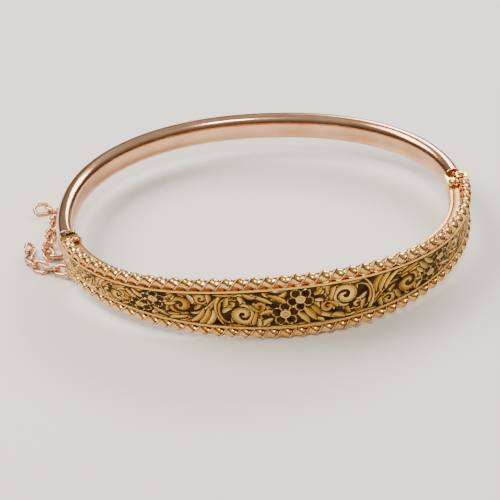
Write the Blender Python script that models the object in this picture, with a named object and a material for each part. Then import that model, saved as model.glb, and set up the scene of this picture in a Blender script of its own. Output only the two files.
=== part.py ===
"""Hinged bangle: an engraved hollow band with twisted-wire edges, closed at the back by a
plain tube, with a snap catch and a safety chain. Metres, +Z up, the ring lying flat.

Places on the ring are given as (along, inset, height): `along` is the distance round the oval
from the middle of the band, positive towards the hinge; `inset` is the depth inwards from the
band's outer face; `height` is +Z from the ring's middle plane."""

import math

import bmesh
import bpy
import numpy as np
from mathutils import Matrix, Vector

MM = 0.001

# The oval that the band's outer face follows
OVAL_WIDTH = 63.0 * MM
OVAL_DEPTH = 52.4 * MM
OVAL_POWER = 2.15  # 2 is an ellipse, more is squarer
BAND_TURN = math.radians(12)  # the band's middle sits this far round from the flat front

# Engraved hollow band
BAND_HALF_LENGTH = 41.8 * MM
BAND_THICKNESS = 2.8 * MM
SHEET = 0.5 * MM
PLATE_HEIGHT_MIDDLE = 7.0 * MM
PLATE_HEIGHT_END = 3.0 * MM
JOIN = 0.04 * MM  # gap left where soldered pieces meet

# Twisted wire
WIRE_RADIUS = 0.88 * MM
WIRE_FLAT_RADIUS = 0.42 * MM
WIRE_LOBE = 1.935 * MM  # length of half a turn
WIRE_INSET = 0.5 * MM
WIRE_END_MARGIN = 1.15 * MM
END_WIRE_RADIUS = 0.46 * MM
END_WIRE_LOBE = 0.8 * MM

# Back tube
TUBE_THICKNESS = 2.8 * MM
TUBE_HEIGHT = 4.4 * MM
TUBE_WALL = 0.4 * MM
TUBE_POWER = 2.4

# Hinge
HINGE_ALONG = 43.25 * MM
HINGE_INSET = 0.55 * MM
KNUCKLE_RADIUS = 0.85 * MM
KNUCKLE_GAP = 0.06 * MM
HINGE_CLEARANCE = 0.07 * MM
HINGE_HEIGHT = 4.4 * MM
MIDDLE_KNUCKLE = 1.6 * MM
PIN_RADIUS = 0.35 * MM
PIN_CLEARANCE = 0.06 * MM
PIN_HEAD_RADIUS = 0.6 * MM
PIN_HEAD_HEIGHT = 0.25 * MM
STOP_GAP = 0.06 * MM

# Snap catch
END_PLATE_THICKNESS = 0.5 * MM
END_PLATE_HEIGHT = 4.6 * MM
TONGUE_SIDE_GAP = 0.125 * MM  # between the tongue and the lining, at the mouth
SLOT_BOTTOM = -1.0 * MM
SLOT_TOP = 0.5 * MM
NOTCH_TOP = 0.98 * MM
TONGUE_WIDTH = 0.85 * MM
TONGUE_REACH = 3.0 * MM
TONGUE_TIP_GAP = 0.025 * MM  # least room between its tip and the face plate
LEAF_THICKNESS = 0.25 * MM
LEAF_BOTTOM = -0.85 * MM
LEAF_FOLD_GAP = 0.12 * MM
LEAF_FREE_TOP = 0.4 * MM
NECK_WIDTH = 0.45 * MM
SLIDE_CLEARANCE = 0.1 * MM
CAP_LENGTH = 1.6 * MM
CAP_GAP = 0.1 * MM
CATCH_THICKNESS = 0.42 * MM
CATCH_WIDTH = 1.3 * MM
CATCH_RISE = 0.25 * MM  # how far the thumb-catch stands above the tube
CATCH_ROOM = 0.45 * MM  # free space each side of the thumb-catch in its pocket

# Safety chain
LINK_WIRE = 0.5 * MM
LINK_LENGTH = 3.0 * MM
LINK_WIDTH = 2.1 * MM
LINK_PLAY = 0.1 * MM
RING_RADIUS = 0.72 * MM  # to the middle of the ring's wire
RING_WIRE = 0.45 * MM
BACK_RING_ALONG = -49.6 * MM
BACK_RING_INSET = 2.55 * MM
FRONT_RING_FACING = math.radians(106)  # between the chain's loose and taut directions
BACK_RING_FACING = math.radians(-83)
LINKS_FROM_BAND = 7
LINKS_FROM_TUBE = 12

STATIONS = 60
WIRE_STEPS = 5  # per half turn


# ---------------------------------------------------------------- the oval and its frames

def oval_table(samples=6000):
    """Points of the oval at equal steps of length, starting at the band's middle."""
    angle = -math.pi / 2 + BAND_TURN + np.linspace(0, 2 * math.pi, samples)
    cosine, sine = np.cos(angle), np.sin(angle)
    x = OVAL_WIDTH / 2 * np.sign(cosine) * np.abs(cosine) ** (2 / OVAL_POWER)
    y = OVAL_DEPTH / 2 * np.sign(sine) * np.abs(sine) ** (2 / OVAL_POWER)
    length = np.concatenate([[0], np.cumsum(np.hypot(np.diff(x), np.diff(y)))])
    even = np.linspace(0, length[-1], samples)
    return length[-1], np.interp(even, length, x), np.interp(even, length, y)


OVAL_LENGTH, OVAL_X, OVAL_Y = oval_table()


def oval_point(along):
    position = (along / OVAL_LENGTH) % 1.0 * (len(OVAL_X) - 1)
    index = np.arange(len(OVAL_X))
    return Vector((np.interp(position, index, OVAL_X), np.interp(position, index, OVAL_Y), 0))


def oval_frame(along):
    """Point, direction of travel and outward direction at a place on the oval."""
    reach = 0.25 * MM
    tangent = (oval_point(along + reach) - oval_point(along - reach)).normalized()
    return oval_point(along), tangent, Vector((tangent.y, -tangent.x, 0))


def at(along, inset=0.0, height=0.0):
    point, _, outward = oval_frame(along)
    return point - outward * inset + Vector((0, 0, height))


def local_matrix(along, inset=0.0, height=0.0, turn=0.0):
    """Frame with X along the band, Y inwards and Z up, turned about Z by `turn`."""
    _, tangent, outward = oval_frame(along)
    turned = Matrix((tangent, -outward, Vector((0, 0, 1)))).transposed().to_4x4()
    place = Matrix.Translation(at(along, inset, height))
    return place @ turned @ Matrix.Rotation(turn, 4, "Z")


def plate_half_height(along):
    """Half of the face plate's height: a smooth taper from the middle to both ends."""
    share = min(abs(along) / BAND_HALF_LENGTH, 1.0)
    blend = 0.5 + 0.5 * math.cos(math.pi * share)
    return (PLATE_HEIGHT_END + (PLATE_HEIGHT_MIDDLE - PLATE_HEIGHT_END) * blend) / 2


# ---------------------------------------------------------------- scene, materials, meshes

def clear_scene():
    for obj in list(bpy.data.objects):
        bpy.data.objects.remove(obj, do_unlink=True)


def make_material(name, colour, roughness):
    material = bpy.data.materials.new(name)
    material.use_nodes = True
    shader = material.node_tree.nodes["Principled BSDF"]
    shader.inputs["Base Color"].default_value = (*colour, 1.0)
    shader.inputs["Metallic"].default_value = 1.0
    shader.inputs["Roughness"].default_value = roughness
    material.diffuse_color = (*colour, 1.0)
    return material


def finish_object(name, mesh_data, material, parent=None, origin=None, smooth=True):
    """Turns a bmesh in world coordinates into a named object whose origin is at `origin`."""
    bmesh.ops.recalc_face_normals(mesh_data, faces=mesh_data.faces)
    mesh = bpy.data.meshes.new(name)
    mesh_data.to_mesh(mesh)
    mesh_data.free()
    mesh.materials.append(material)
    if smooth:
        mesh.shade_smooth()
        mesh.set_sharp_from_angle(angle=math.radians(40))
    obj = bpy.data.objects.new(name, mesh)
    bpy.context.scene.collection.objects.link(obj)
    if origin is not None:
        mesh.transform(Matrix.Translation(-origin))
        obj.location = origin
    if parent is not None:
        obj.parent = parent
        obj.matrix_parent_inverse = Matrix.Translation(-parent.location)
    return obj


def loft(rings, closed=False):
    """A bmesh skin over rings of points, capped at both ends unless it closes on itself."""
    made = bmesh.new()
    verts = [[made.verts.new(point) for point in ring] for ring in rings]
    count = len(verts[0])
    pairs = list(zip(verts, verts[1:]))
    if closed:
        pairs.append((verts[-1], verts[0]))
    for first, second in pairs:
        for i in range(count):
            j = (i + 1) % count
            made.faces.new((first[i], first[j], second[j], second[i]))
    if not closed:
        made.faces.new(verts[0])
        made.faces.new(verts[-1])
    return made


def sweep(start, end, stations, section):
    """Sweeps section(along), a list of (inset, height), round the oval from start to end."""
    rings = []
    for along in np.linspace(start, end, stations):
        rings.append([at(along, inset, height) for inset, height in section(along)])
    return loft(rings)


def rectangle(inset_low, inset_high, height_low, height_high):
    return [
        (inset_low, height_low),
        (inset_high, height_low),
        (inset_high, height_high),
        (inset_low, height_high),
    ]


def rounded_section(thickness, height, sides, inset_centre):
    """A superellipse cross-section as (inset, height) points."""
    points = []
    for k in range(sides):
        angle = 2 * math.pi * (k + 0.5) / sides
        c, s = math.cos(angle), math.sin(angle)
        across = math.copysign(abs(c) ** (2 / TUBE_POWER), c) * thickness / 2
        up = math.copysign(abs(s) ** (2 / TUBE_POWER), s) * height / 2
        points.append((inset_centre + across, up))
    return points


def strip_section(angle, radius, flat_radius):
    """A flattened wire's diamond section, turned by `angle`."""
    corners = [(radius, 0), (0, flat_radius), (-radius, 0), (0, -flat_radius)]
    c, s = math.cos(angle), math.sin(angle)
    return [(x * c - y * s, x * s + y * c) for x, y in corners]


def prism(outline, low, high, frame):
    """Extrudes an outline of local (x, y) points from height low to high, in a local frame."""
    rings = [[frame @ Vector((x, y, z)) for x, y in outline] for z in (low, high)]
    return loft(rings)


def box(x_range, y_range, z_range, frame):
    outline = [
        (x_range[0], y_range[0]),
        (x_range[1], y_range[0]),
        (x_range[1], y_range[1]),
        (x_range[0], y_range[1]),
    ]
    return prism(outline, z_range[0], z_range[1], frame)


def add_cut(obj, cutters):
    """Subtracts hidden cutter meshes from an object."""
    for number, cutter_mesh in enumerate(cutters):
        cutter = finish_object(f"{obj.name}_cutter_{number}", cutter_mesh, obj.data.materials[0])
        cutter.hide_render = True
        cutter.display_type = "WIRE"
        modifier = obj.modifiers.new(f"cut_{number}", "BOOLEAN")
        modifier.operation = "DIFFERENCE"
        modifier.object = cutter


# ---------------------------------------------------------------- the engraved band

def band_sweep(section):
    return sweep(-BAND_HALF_LENGTH, BAND_HALF_LENGTH, STATIONS, section)


def build_face_plate(gold, body):
    def section(along):
        half = plate_half_height(along)
        return rectangle(0, SHEET, -half, half)

    finish_object("engraved_face_plate", band_sweep(section), gold, body)


def build_inner_lining(gold, body):
    def section(along):
        half = plate_half_height(along)
        return rectangle(BAND_THICKNESS - SHEET, BAND_THICKNESS, -half, half)

    finish_object("inner_lining", band_sweep(section), gold, body)


def build_side_wall(name, side, gold, body):
    def section(along):
        half = plate_half_height(along)
        low, high = sorted((side * half, side * (half - SHEET)))
        return rectangle(SHEET + JOIN, BAND_THICKNESS - SHEET - JOIN, low, high)

    finish_object(name, band_sweep(section), gold, body)


def build_twisted_wire(name, side, gold, body):
    """Twisted strip along one edge of the band; both edges have the same left-hand twist."""
    half_length = BAND_HALF_LENGTH - WIRE_END_MARGIN
    lobes = round(2 * half_length / WIRE_LOBE)
    reach = lobes * WIRE_LOBE / 2

    def section(along):
        height = side * (plate_half_height(along) + JOIN + WIRE_RADIUS)
        turned = strip_section(math.pi * along / WIRE_LOBE, WIRE_RADIUS, WIRE_FLAT_RADIUS)
        return [(WIRE_INSET - out, height + up) for out, up in turned]

    made = sweep(-reach, reach, lobes * WIRE_STEPS + 1, section)
    finish_object(name, made, gold, body)


def build_end_wire(name, along, side, gold, body):
    """Short twisted wire laid across the band's edge, which finishes the long wire's end."""
    frame = local_matrix(along)
    height = side * (PLATE_HEIGHT_END / 2 + JOIN + END_WIRE_RADIUS)
    start, end = JOIN, BAND_THICKNESS - JOIN
    steps = round((end - start) / END_WIRE_LOBE * WIRE_STEPS)
    rings = []
    for inset in np.linspace(start, end, steps + 1):
        angle = math.pi * (inset - start) / END_WIRE_LOBE
        turned = strip_section(angle, END_WIRE_RADIUS, END_WIRE_RADIUS * 0.55)
        rings.append([frame @ Vector((x, inset, height + z)) for x, z in turned])
    finish_object(name, loft(rings), gold, body)


# ---------------------------------------------------------------- the hinge

def knuckle_outline(tab_direction, sides=16):
    """Outer outline of a knuckle: round, with a square tab on the side of its own half."""
    points = []
    for k in range(sides):
        angle = 2 * math.pi * k / sides
        c, s = math.cos(angle), math.sin(angle)
        square = c * tab_direction > 0.01
        reach = KNUCKLE_RADIUS / (max(abs(c), abs(s)) if square else 1.0)
        points.append((c * reach, s * reach))
    return points


def build_knuckle(name, tab_direction, low, high, gold, parent):
    sides = 16
    frame = local_matrix(HINGE_ALONG, HINGE_INSET)
    bore = PIN_RADIUS + PIN_CLEARANCE
    outer = knuckle_outline(tab_direction, sides)
    inner = [
        (bore * math.cos(2 * math.pi * k / sides), bore * math.sin(2 * math.pi * k / sides))
        for k in range(sides)
    ]
    made = bmesh.new()
    rows = []
    for outline, z in ((outer, low), (outer, high), (inner, high), (inner, low)):
        rows.append([made.verts.new(frame @ Vector((x, y, z))) for x, y in outline])
    for first, second in zip(rows, rows[1:] + rows[:1]):
        for i in range(sides):
            j = (i + 1) % sides
            made.faces.new((first[i], first[j], second[j], second[i]))
    finish_object(name, made, gold, parent, origin=at(HINGE_ALONG, HINGE_INSET))


def build_hinge_pin(gold, body):
    sides = 12
    frame = local_matrix(HINGE_ALONG, HINGE_INSET)
    top = HINGE_HEIGHT / 2 + JOIN
    dome = top + PIN_HEAD_HEIGHT
    profile = [
        (PIN_HEAD_RADIUS * 0.5, -dome),
        (PIN_HEAD_RADIUS, -top - PIN_HEAD_HEIGHT * 0.5),
        (PIN_HEAD_RADIUS, -top),
        (PIN_RADIUS, -top),
        (PIN_RADIUS, top),
        (PIN_HEAD_RADIUS, top),
        (PIN_HEAD_RADIUS, top + PIN_HEAD_HEIGHT * 0.5),
        (PIN_HEAD_RADIUS * 0.5, dome),
    ]
    rings = []
    for radius, z in profile:
        angles = [2 * math.pi * k / sides for k in range(sides)]
        ring = [frame @ Vector((radius * math.cos(a), radius * math.sin(a), z)) for a in angles]
        rings.append(ring)
    finish_object("hinge_pin", loft(rings), gold, body, origin=at(HINGE_ALONG, HINGE_INSET))


def build_hinge_block(name, side, own_end, half_height, gold, parent):
    """End block of one half: thin beside the knuckles, thick on the inner side.

    `side` is -1 on the band's side of the axis and 1 on the tube's, and `own_end` is where
    the block meets its own half. The inner parts of the two blocks are the hinge's stop."""
    frame = local_matrix(HINGE_ALONG, HINGE_INSET)
    step = KNUCKLE_RADIUS + HINGE_CLEARANCE
    inner = BAND_THICKNESS - HINGE_INSET
    near = side * STOP_GAP / 2
    outline = [
        at(own_end),
        frame @ Vector((side * step, -HINGE_INSET, 0)),
        frame @ Vector((side * step, step, 0)),
        frame @ Vector((near, step, 0)),
        frame @ Vector((near, inner, 0)),
        at(own_end, BAND_THICKNESS),
    ]
    rings = [[point + Vector((0, 0, z)) for point in outline] for z in (-half_height, half_height)]
    finish_object(name, loft(rings), gold, parent, smooth=False)


def build_hinge(gold, pin_gold, front, back):
    half = HINGE_HEIGHT / 2
    middle = MIDDLE_KNUCKLE / 2
    build_knuckle("front_knuckle_upper", -1, middle + KNUCKLE_GAP, half, gold, front)
    build_knuckle("front_knuckle_lower", -1, -half, -middle - KNUCKLE_GAP, gold, front)
    build_knuckle("back_knuckle", 1, -middle, middle, gold, back)
    build_hinge_pin(pin_gold, front)
    build_hinge_block(
        "hinge_end_plate", -1, BAND_HALF_LENGTH + JOIN, PLATE_HEIGHT_END / 2, gold, front
    )
    cap_half_height = TUBE_HEIGHT / 2 - 2 * TUBE_WALL
    build_hinge_block("tube_hinge_cap", 1, TUBE_START - JOIN, cap_half_height, gold, back)


# ---------------------------------------------------------------- the back tube

TUBE_START = HINGE_ALONG + 1.55 * MM
PLATE_OUTER_ALONG = -BAND_HALF_LENGTH - JOIN - END_PLATE_THICKNESS
CAP_FACE_ALONG = PLATE_OUTER_ALONG - CAP_GAP
TUBE_END = OVAL_LENGTH + CAP_FACE_ALONG - CAP_LENGTH - JOIN


def build_back_tube(gold, back):
    outer = rounded_section(TUBE_THICKNESS, TUBE_HEIGHT, 12, TUBE_THICKNESS / 2)
    inner = rounded_section(
        TUBE_THICKNESS - 2 * TUBE_WALL, TUBE_HEIGHT - 2 * TUBE_WALL, 12, TUBE_THICKNESS / 2
    )
    made = bmesh.new()
    previous = None
    for along in np.linspace(TUBE_START, TUBE_END, 50):
        outer_ring = [made.verts.new(at(along, *point)) for point in outer]
        inner_ring = [made.verts.new(at(along, *point)) for point in inner]
        if previous is None:
            bridge(made, outer_ring, inner_ring)
        else:
            bridge(made, previous[0], outer_ring)
            bridge(made, previous[1], inner_ring)
        previous = (outer_ring, inner_ring)
    bridge(made, previous[0], previous[1])
    finish_object("back_tube", made, gold, back)


def bridge(made, first, second):
    count = len(first)
    for i in range(count):
        j = (i + 1) % count
        made.faces.new((first[i], first[j], second[j], second[i]))


# ---------------------------------------------------------------- the snap catch

def swing_frame():
    """Frame of the tongue: X into the band along the swing of the back half, Y inwards."""
    slot_inset = BAND_THICKNESS - SHEET - TONGUE_SIDE_GAP - TONGUE_WIDTH / 2
    mouth = at(-BAND_HALF_LENGTH, slot_inset)
    radius = mouth - at(HINGE_ALONG, HINGE_INSET)
    inwards = -radius.normalized()
    into_band = Vector((inwards.y, -inwards.x, 0))
    turned = Matrix((into_band, inwards, Vector((0, 0, 1)))).transposed().to_4x4()
    return Matrix.Translation(mouth) @ turned


def depth_in_band(point):
    """How far inside the band's outer face a point lies."""
    distance = float(np.hypot(OVAL_X - point.x, OVAL_Y - point.y).min())
    across = abs(2 * point.x / OVAL_WIDTH) ** OVAL_POWER
    deep = abs(2 * point.y / OVAL_DEPTH) ** OVAL_POWER
    return distance if across + deep < 1 else -distance


def tongue_reach():
    """The tongue's length: TONGUE_REACH, or what the plate leaves where it curves closer."""
    swing = swing_frame()
    reach = TONGUE_REACH
    while depth_in_band(swing @ Vector((reach, -TONGUE_WIDTH / 2, 0))) < SHEET + TONGUE_TIP_GAP:
        reach -= 0.1 * MM
    return reach


def fold_height():
    return LEAF_BOTTOM + LEAF_THICKNESS + LEAF_FOLD_GAP + LEAF_THICKNESS / 2


def build_clasp_end_plate(gold, front):
    frame = local_matrix(-BAND_HALF_LENGTH)
    outer_face = PLATE_OUTER_ALONG + BAND_HALF_LENGTH
    half = END_PLATE_HEIGHT / 2
    made = box((outer_face, -JOIN), (0, BAND_THICKNESS), (-half, half), frame)
    plate = finish_object("clasp_end_plate", made, gold, front, smooth=False)
    swing = swing_frame()
    half_slot = TONGUE_WIDTH / 2 + SLIDE_CLEARANCE
    half_notch = NECK_WIDTH / 2 + SLIDE_CLEARANCE
    through = (-2 * MM, 1 * MM)
    outline = [
        (-half_slot, SLOT_BOTTOM),
        (half_slot, SLOT_BOTTOM),
        (half_slot, SLOT_TOP),
        (half_notch, SLOT_TOP),
        (half_notch, NOTCH_TOP),
        (-half_notch, NOTCH_TOP),
        (-half_notch, SLOT_TOP),
        (-half_slot, SLOT_TOP),
    ]
    rings = [[swing @ Vector((x, y, z)) for y, z in outline] for x in through]
    add_cut(plate, [loft(rings)])


def catch_span():
    """Where the thumb-catch stands, along the tongue's frame."""
    near = PLATE_OUTER_ALONG + BAND_HALF_LENGTH - CAP_GAP - CATCH_ROOM
    return near - CATCH_THICKNESS, near


def build_clasp_cap(gold, back):
    """Solid end of the tube at the snap, with a pocket for the thumb-catch."""
    outline = rounded_section(TUBE_THICKNESS, TUBE_HEIGHT, 16, TUBE_THICKNESS / 2)
    made = sweep(CAP_FACE_ALONG - CAP_LENGTH, CAP_FACE_ALONG, 2, lambda along: outline)
    cap = finish_object("tube_clasp_cap", made, gold, back, smooth=False)
    swing = swing_frame()
    far, _ = catch_span()
    half = CATCH_WIDTH / 2 + SLIDE_CLEARANCE * 1.5
    pocket = box(
        (far - CATCH_ROOM * 0.5, 1 * MM),
        (-half, half),
        (LEAF_FREE_TOP - LEAF_THICKNESS - SLIDE_CLEARANCE * 2.5, TUBE_HEIGHT),
        swing,
    )
    half = TONGUE_WIDTH / 2 + JOIN
    seat = box(
        (far, 1 * MM),
        (-half, half),
        (LEAF_BOTTOM - JOIN, LEAF_BOTTOM + LEAF_THICKNESS + JOIN),
        swing,
    )
    add_cut(cap, [pocket, seat])


def build_lower_leaf(gold, back):
    swing = swing_frame()
    far, _ = catch_span()
    half = TONGUE_WIDTH / 2
    thickness = LEAF_THICKNESS
    reach = tongue_reach()
    made = box((far + JOIN, reach), (-half, half), (LEAF_BOTTOM, LEAF_BOTTOM + thickness), swing)
    finish_object("snap_lower_leaf", made, gold, back, smooth=False)


def build_upper_leaf(gold, snap):
    """Spring leaf: from the fold it rises towards the band's mouth and narrows to a neck."""
    swing = swing_frame()
    _, near = catch_span()
    fold = fold_height()
    mouth_bottom = LEAF_FREE_TOP - LEAF_THICKNESS
    half, neck = TONGUE_WIDTH / 2, NECK_WIDTH / 2
    reach = tongue_reach()
    stations = [
        (reach, half, fold - LEAF_THICKNESS / 2),
        (reach * 0.12, half, mouth_bottom),
        (reach * 0.06, neck, mouth_bottom),
        (near + JOIN, neck, mouth_bottom),
    ]
    rings = []
    for x, side, low in stations:
        corners = [(-side, low), (side, low), (side, low + LEAF_THICKNESS), (-side, low + LEAF_THICKNESS)]
        rings.append([swing @ Vector((x, y, z)) for y, z in corners])
    origin = swing @ Vector((reach, 0, fold))
    finish_object("snap_upper_leaf", loft(rings), gold, snap, origin=origin, smooth=False)


def build_thumb_catch(gold, snap):
    swing = swing_frame()
    far, near = catch_span()
    low = LEAF_FREE_TOP - LEAF_THICKNESS
    top = TUBE_HEIGHT / 2 + CATCH_RISE
    half = CATCH_WIDTH / 2
    outline = [(-half, low), (half, low), (half, top - CATCH_RISE)]
    for k in range(7):
        angle = math.pi * k / 6
        outline.append((half * math.cos(angle), top - CATCH_RISE + CATCH_RISE * math.sin(angle)))
    outline.append((-half, top - CATCH_RISE))
    unique = [p for i, p in enumerate(outline) if i == 0 or math.dist(p, outline[i - 1]) > 1e-7]
    rings = [[swing @ Vector((x, y, z)) for y, z in unique] for x in (far, near)]
    finish_object("thumb_catch", loft(rings), gold, snap, smooth=False)


# ---------------------------------------------------------------- the safety chain

def ring_mesh(centre, normal, up, radius, wire, steps=14, sides=6):
    """A round wire ring."""
    side = normal.cross(up).normalized()
    rings = []
    for k in range(steps):
        angle = 2 * math.pi * k / steps
        out = up * math.cos(angle) + side * math.sin(angle)
        middle = centre + out * radius
        ring = []
        for m in range(sides):
            turn = 2 * math.pi * m / sides
            ring.append(middle + (out * math.cos(turn) + normal * math.sin(turn)) * wire / 2)
        rings.append(ring)
    return loft(rings, closed=True)


def link_mesh(start, end, normal, sides=6, arc_steps=5):
    """An oval link of round wire between two contact points, lying square to `normal`."""
    along = (end - start).normalized()
    normal = (normal - along * normal.dot(along)).normalized()
    across = normal.cross(along)
    middle = (start + end) / 2
    end_radius = (LINK_WIDTH - LINK_WIRE) / 2
    straight = (LINK_LENGTH - LINK_WIDTH) / 2
    path = []
    for side in (1, -1):
        for k in range(arc_steps + 1):
            angle = -math.pi / 2 + math.pi * k / arc_steps
            out = along * math.cos(angle) * side + across * math.sin(angle) * side
            path.append((middle + along * straight * side + out * end_radius, out))
    rings = []
    for point, out in path:
        turns = [2 * math.pi * m / sides for m in range(sides)]
        ring = [point + (out * math.cos(t) + normal * math.sin(t)) * LINK_WIRE / 2 for t in turns]
        rings.append(ring)
    return loft(rings, closed=True)


def link_pitch():
    return LINK_LENGTH - 2 * LINK_WIRE - LINK_PLAY


def smooth_route(points, samples=40):
    """A dense Catmull-Rom curve through points chosen by hand."""
    ends = [points[0] * 2 - points[1], *points, points[-1] * 2 - points[-2]]
    dense = []
    for a, b, c, d in zip(ends, ends[1:], ends[2:], ends[3:]):
        for k in range(samples):
            t = k / samples
            dense.append(
                0.5
                * (2 * b + (c - a) * t + (2 * a - 5 * b + 4 * c - d) * t**2 + (3 * b - a - 3 * c + d) * t**3)
            )
    dense.append(points[-1])
    return dense


def walk(route, count, pitch):
    """Contact points one pitch apart along a dense route."""
    contacts = [route[0]]
    for point in route:
        if len(contacts) > count:
            break
        if (point - contacts[-1]).length >= pitch:
            step = (point - contacts[-1]).normalized() * pitch
            contacts.append(contacts[-1] + step)
    return contacts


def front_ring_centre():
    wire_bottom = PLATE_HEIGHT_END / 2 + 2 * END_WIRE_RADIUS + 2 * JOIN
    drop = wire_bottom + RING_RADIUS + RING_WIRE / 2
    return at(-BAND_HALF_LENGTH + END_WIRE_RADIUS + JOIN, BAND_THICKNESS * 0.3, -drop)


def back_ring_centre():
    drop = TUBE_HEIGHT / 2 + JOIN + RING_RADIUS + RING_WIRE / 2
    return at(BACK_RING_ALONG, BACK_RING_INSET, -drop)


def chain_start(centre, towards):
    """Where the first link bears on a ring's lowest wire, which it hooks round."""
    lowest = centre - Vector((0, 0, RING_RADIUS))
    return lowest - (towards - lowest).normalized() * (LINK_WIRE + LINK_PLAY) / 2


def chain_route(ring_centre, places):
    points = [Vector(place) * MM for place in places]
    return smooth_route([chain_start(ring_centre, points[0]), *points])


def band_chain_route():
    """The half of the chain that hangs from the band, lying loose outside the snap."""
    places = [
        (-29.4, -9.8, -4.25),
        (-31.0, -9.2, -4.4),
        (-32.8, -8.9, -4.45),
        (-34.6, -8.0, -4.45),
        (-35.7, -6.4, -4.45),
        (-36.1, -4.5, -4.45),
        (-36.2, -2.6, -4.45),
        (-36.5, -0.7, -4.45),
        (-37.1, 1.2, -4.45),
    ]
    return chain_route(front_ring_centre(), places)


def tube_chain_route():
    """The half that hangs from the tube, passing under it to the outside."""
    places = [
        (-29.0, -5.2, -4.2),
        (-30.6, -6.2, -4.4),
        (-32.5, -5.8, -4.45),
        (-33.5, -4.2, -4.45),
        (-33.2, -2.3, -4.45),
        (-33.7, -0.5, -4.45),
        (-33.3, 1.4, -4.45),
        (-33.7, 3.3, -4.45),
        (-33.3, 5.1, -4.45),
        (-33.9, 6.9, -4.45),
        (-35.5, 7.8, -4.45),
        (-37.4, 7.3, -4.45),
        (-38.3, 5.6, -4.45),
    ]
    return chain_route(back_ring_centre(), places)


def link_normal(along, number):
    """Each link lies a quarter turn round from the last. The first stands upright in its
    ring, and from the third on they lie at 45 degrees either way."""
    level = along.cross(Vector((0, 0, 1))).normalized()
    roll = math.radians(90 * (number - 1) + 22.5 * min(number - 1, 2))
    return level * math.cos(roll) + level.cross(along) * math.sin(roll)


def chain_links(route, count):
    """(start, end, normal) of each link laid along a route."""
    contacts = walk(route, count, link_pitch())
    links = []
    for number, (start, end) in enumerate(zip(contacts, contacts[1:]), start=1):
        links.append((start, end, link_normal((end - start).normalized(), number)))
    return links


def build_chain_half(name, route, count, metal, parent):
    for number, (start, end, normal) in enumerate(chain_links(route, count), start=1):
        made = link_mesh(start, end, normal)
        finish_object(f"{name}_{number:02d}", made, metal, parent, origin=start)


def build_chain_ring(name, centre, facing, metal, parent):
    normal = Vector((math.cos(facing), math.sin(facing), 0))
    made = ring_mesh(centre, normal, Vector((0, 0, 1)), RING_RADIUS, RING_WIRE)
    finish_object(name, made, metal, parent)


def build_chain(metal, front, back):
    build_chain_ring("front_chain_ring", front_ring_centre(), FRONT_RING_FACING, metal, front)
    build_chain_ring("back_chain_ring", back_ring_centre(), BACK_RING_FACING, metal, back)
    build_chain_half("band_link", band_chain_route(), LINKS_FROM_BAND, metal, front)
    build_chain_half("tube_link", tube_chain_route(), LINKS_FROM_TUBE, metal, back)


# ---------------------------------------------------------------- assembly

def add_empty(name, place, parent=None):
    empty = bpy.data.objects.new(name, None)
    empty.location = place
    empty.empty_display_size = 5 * MM
    bpy.context.scene.collection.objects.link(empty)
    if parent is not None:
        empty.parent = parent
        empty.matrix_parent_inverse = Matrix.Translation(-parent.location)
    return empty


def main():
    clear_scene()
    yellow = make_material("yellow_gold", (0.83, 0.60, 0.27), 0.2)
    rose = make_material("rose_gold", (0.80, 0.50, 0.32), 0.12)
    pin_gold = make_material("pin_gold", (0.78, 0.56, 0.30), 0.3)

    front = add_empty("front_half", Vector((0, 0, 0)))
    back = add_empty("back_half", at(HINGE_ALONG, HINGE_INSET))
    snap = add_empty("snap", swing_frame() @ Vector((tongue_reach(), 0, fold_height())))

    build_face_plate(yellow, front)
    build_inner_lining(yellow, front)
    end_along = BAND_HALF_LENGTH - END_WIRE_RADIUS - JOIN
    for level, side in (("upper", 1), ("lower", -1)):
        build_side_wall(f"{level}_side_wall", side, yellow, front)
        build_twisted_wire(f"{level}_twisted_wire", side, yellow, front)
        build_end_wire(f"clasp_{level}_end_wire", -end_along, side, yellow, front)
        build_end_wire(f"hinge_{level}_end_wire", end_along, side, yellow, front)
    build_clasp_end_plate(yellow, front)
    build_hinge(yellow, pin_gold, front, back)
    build_back_tube(rose, back)
    build_clasp_cap(rose, back)
    build_lower_leaf(yellow, back)
    build_upper_leaf(yellow, snap)
    build_thumb_catch(yellow, snap)
    build_chain(rose, front, back)


main()
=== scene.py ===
# %% [markdown]
# # A hinged gold bangle
# The front half is a hollow band: an engraved plate, a plain lining and two thick twisted
# wires along its edges. The back half is a plain tube. A snap catch closes them and a
# small chain keeps the bangle on the wrist if the catch opens.
# This lesson dresses the working model of the bangle: it rebuilds what needs a finer
# shape, softens the small fittings, and gives every piece its metal.

# %% Load the working model
import math

import bmesh
import bpy
import numpy as np
from mathutils import Matrix, Vector


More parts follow.
